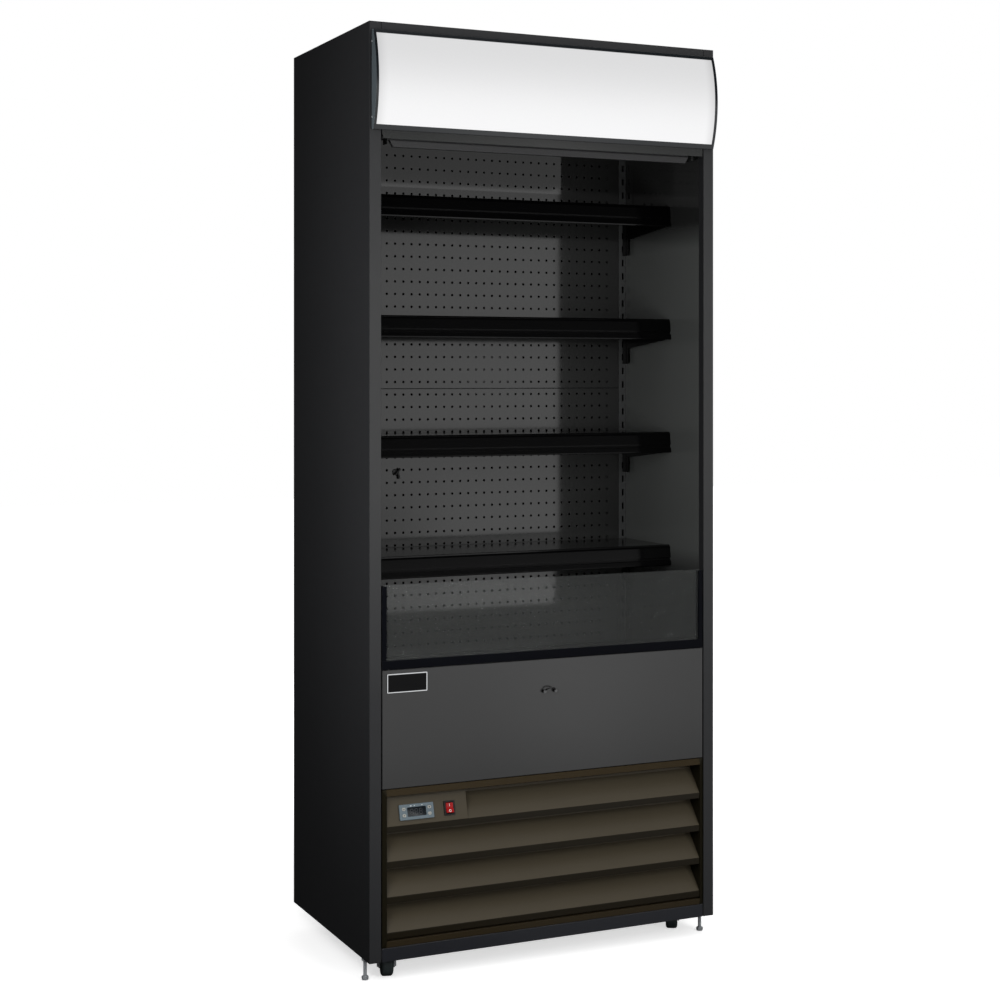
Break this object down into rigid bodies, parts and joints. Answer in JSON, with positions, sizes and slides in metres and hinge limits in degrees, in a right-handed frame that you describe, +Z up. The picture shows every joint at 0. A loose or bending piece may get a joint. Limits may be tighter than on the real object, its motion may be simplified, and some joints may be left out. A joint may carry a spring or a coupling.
{
  "type": "open multideck display fridge",
  "caption": "Tall open-fronted display fridge with shelves, price rails, a lit canopy, a night curtain, a glass riser, a louvred machine grille and casters.",
  "frame": {"origin": "on the floor, under the middle of the bounding box", "axes": "+Z up, +X to the right seen from the front, the open front faces -Y"},
  "size_m": [0.82, 0.517, 1.98],
  "materials": {
    "side_paint": "matte near-black powder coat",
    "front_paint": "satin dark grey powder coat",
    "kick_paint": "bluish dark grey powder coat",
    "header_paint": "satin mid grey powder coat",
    "grille_paint": "bronze powder coat",
    "inner_paint": "glossy dark grey coil-coated steel",
    "shelf_paint": "glossy black powder coat",
    "frame_black": "matte blue-black profile",
    "clear_glass": "clear float glass",
    "badge": "chromed rim with a black field",
    "catch_steel": "bright steel",
    "foam": "rigid foam",
    "galvanised": "galvanised sheet",
    "black_plastic": "moulded black",
    "controller_plastic": "moulded silver grey with a dark window",
    "key_plastic": "moulded pale grey",
    "red_plastic": "translucent red",
    "trim_black": "steel-blue satin",
    "white_tray": "white",
    "opal": "opal diffuser",
    "curtain_cloth": "coated grey cloth",
    "bar_aluminium": "anodised grey",
    "compressor_black": "gloss black",
    "fin_aluminium": "bare fins",
    "copper": "drawn copper",
    "zinc": "zinc plated",
    "wheel_grey": "grey thermoplastic rubber"
  },
  "bodies": {
    "cabinet": {"left_side_panel": "side_paint", "right_side_panel": "side_paint", "cabinet_liner": "inner_paint", "insulation": "foam", "rear_panel": "galvanised", "top_panel": "side_paint", "base_pan": "side_paint", "kick_plate": "kick_paint", "deck_pan": "inner_paint", "back_panels": "inner_paint", "probe_clip": "black_plastic", "shelf_uprights": "inner_paint", "shelf_brackets": "shelf_paint", "front_glass": "clear_glass", "glass_frame": "frame_black", "lower_front_panel": "front_paint", "name_plate": "badge", "curtain_catch": "catch_steel", "grille_frame": "grille_paint", "louvre_blades": "grille_paint", "controller_body": "controller_plastic", "switch_housing": "black_plastic", "canopy_housing": "white_tray", "canopy_diffuser": "opal", "canopy_trim": "trim_black", "canopy_lamps": "opal", "header_panel": "header_paint", "discharge_grille": "black_plastic", "curtain_fabric": "curtain_cloth", "compressor": "compressor_black", "condenser": "fin_aluminium", "evaporator": "fin_aluminium", "fan_motors": "galvanised", "condensate_tray": "black_plastic", "refrigerant_pipes": "copper", "electrical_box": "galvanised", "fasteners": "zinc"},
    "curtain_pull": {"curtain_bar": "bar_aluminium"},
    "curtain_roll": {"curtain_roller": "curtain_cloth"},
    "shelf_1": {"shelf_1": "shelf_paint"},
    "shelf_2": {"shelf_2": "shelf_paint"},
    "shelf_3": {"shelf_3": "shelf_paint"},
    "shelf_4": {"shelf_4": "shelf_paint"},
    "button_1": {"controller_button_1": "key_plastic"},
    "button_2": {"controller_button_2": "key_plastic"},
    "button_3": {"controller_button_3": "key_plastic"},
    "button_4": {"controller_button_4": "key_plastic"},
    "rocker": {"switch_rocker": "red_plastic"},
    "condenser_rotor": {"condenser_fan": "black_plastic"},
    "evaporator_rotor": {"evaporator_fan": "black_plastic"},
    "caster_1": {"caster_fork_1": "zinc"},
    "wheel_1": {"caster_wheel_1": "wheel_grey"},
    "caster_2": {"caster_fork_2": "zinc"},
    "wheel_2": {"caster_wheel_2": "wheel_grey"},
    "caster_3": {"caster_fork_3": "zinc"},
    "wheel_3": {"caster_wheel_3": "wheel_grey"},
    "caster_4": {"caster_fork_4": "zinc"},
    "wheel_4": {"caster_wheel_4": "wheel_grey"},
    "leveller_left": {"levelling_bolt_left": "zinc"},
    "leveller_right": {"levelling_bolt_right": "zinc"}
  },
  "joints": [
    {"name": "curtain_slide", "type": "slide", "parent": "cabinet", "child": "curtain_pull", "axis": [0, -0.0405, -0.9992], "range_m": [0, 1.1359], "stiffness_N_per_m": 4, "springref_m": -1.5, "deforming": ["curtain_fabric"]},
    {"name": "roller_turn", "type": "hinge", "parent": "cabinet", "child": "curtain_roll", "pos_m": [0, -0.1805, 1.778], "axis": [1, 0, 0], "range_deg": [0, 2700]},
    {"name": "shelf_1_lift", "type": "slide", "parent": "cabinet", "child": "shelf_1", "axis": [0, 0, 1], "range_m": [0, 0.06]},
    {"name": "shelf_2_lift", "type": "slide", "parent": "cabinet", "child": "shelf_2", "axis": [0, 0, 1], "range_m": [0, 0.06]},
    {"name": "shelf_3_lift", "type": "slide", "parent": "cabinet", "child": "shelf_3", "axis": [0, 0, 1], "range_m": [0, 0.06]},
    {"name": "shelf_4_lift", "type": "slide", "parent": "cabinet", "child": "shelf_4", "axis": [0, 0, 1], "range_m": [0, 0.06]},
    {"name": "button_1_press", "type": "slide", "parent": "cabinet", "child": "button_1", "axis": [0, 0.9659, -0.2588], "range_m": [0, 0.0008], "stiffness_N_per_m": 400, "springref_m": -0.001},
    {"name": "button_2_press", "type": "slide", "parent": "cabinet", "child": "button_2", "axis": [0, 0.9659, -0.2588], "range_m": [0, 0.0008], "stiffness_N_per_m": 400, "springref_m": -0.001},
    {"name": "button_3_press", "type": "slide", "parent": "cabinet", "child": "button_3", "axis": [0, 0.9659, -0.2588], "range_m": [0, 0.0008], "stiffness_N_per_m": 400, "springref_m": -0.001},
    {"name": "button_4_press", "type": "slide", "parent": "cabinet", "child": "button_4", "axis": [0, 0.9659, -0.2588], "range_m": [0, 0.0008], "stiffness_N_per_m": 400, "springref_m": -0.001},
    {"name": "rocker_tilt", "type": "hinge", "parent": "cabinet", "child": "rocker", "pos_m": [-0.2305, -0.22533, 0.34846], "axis": [1, 0, 0], "range_deg": [0, 16]},
    {"name": "condenser_fan_spin", "type": "hinge", "parent": "cabinet", "child": "condenser_rotor", "pos_m": [-0.205, -0.0855, 0.211], "axis": [0, 1, 0], "continuous": true},
    {"name": "evaporator_fan_spin", "type": "hinge", "parent": "cabinet", "child": "evaporator_rotor", "pos_m": [-0.05, -0.062, 0.5115], "axis": [0, 1, 0], "continuous": true},
    {"name": "caster_1_swivel", "type": "hinge", "parent": "cabinet", "child": "caster_1", "pos_m": [-0.346, -0.157, 0.0635], "axis": [0, 0, 1], "continuous": true},
    {"name": "wheel_1_spin", "type": "hinge", "parent": "caster_1", "child": "wheel_1", "pos_m": [-0.35118, -0.17632, 0.025], "axis": [-0.9659, 0.2588, 0], "continuous": true},
    {"name": "caster_2_swivel", "type": "hinge", "parent": "cabinet", "child": "caster_2", "pos_m": [0.346, -0.157, 0.0635], "axis": [0, 0, 1], "continuous": true},
    {"name": "wheel_2_spin", "type": "hinge", "parent": "caster_2", "child": "wheel_2", "pos_m": [0.3556, -0.13946, 0.025], "axis": [0.8771, -0.4802, 0], "continuous": true},
    {"name": "caster_3_swivel", "type": "hinge", "parent": "cabinet", "child": "caster_3", "pos_m": [-0.322, 0.1785, 0.0635], "axis": [0, 0, 1], "continuous": true},
    {"name": "wheel_3_spin", "type": "hinge", "parent": "caster_3", "child": "wheel_3", "pos_m": [-0.32616, 0.19806, 0.025], "axis": [0.9781, 0.2079, 0], "continuous": true},
    {"name": "caster_4_swivel", "type": "hinge", "parent": "cabinet", "child": "caster_4", "pos_m": [0.322, 0.1785, 0.0635], "axis": [0, 0, 1], "continuous": true},
    {"name": "wheel_4_spin", "type": "hinge", "parent": "caster_4", "child": "wheel_4", "pos_m": [0.32818, 0.19752, 0.025], "axis": [0.9511, -0.309, 0], "continuous": true},
    {"name": "leveller_left_screw", "type": "slide", "parent": "cabinet", "child": "leveller_left", "axis": [0, 0, 1], "range_m": [0, 0.03]},
    {"name": "leveller_right_screw", "type": "slide", "parent": "cabinet", "child": "leveller_right", "axis": [0, 0, 1], "range_m": [0, 0.03]}
  ],
  "couplings": [
    {"joint": "roller_turn", "follows": "curtain_slide", "rad_per_m": 40.486}
  ]
}
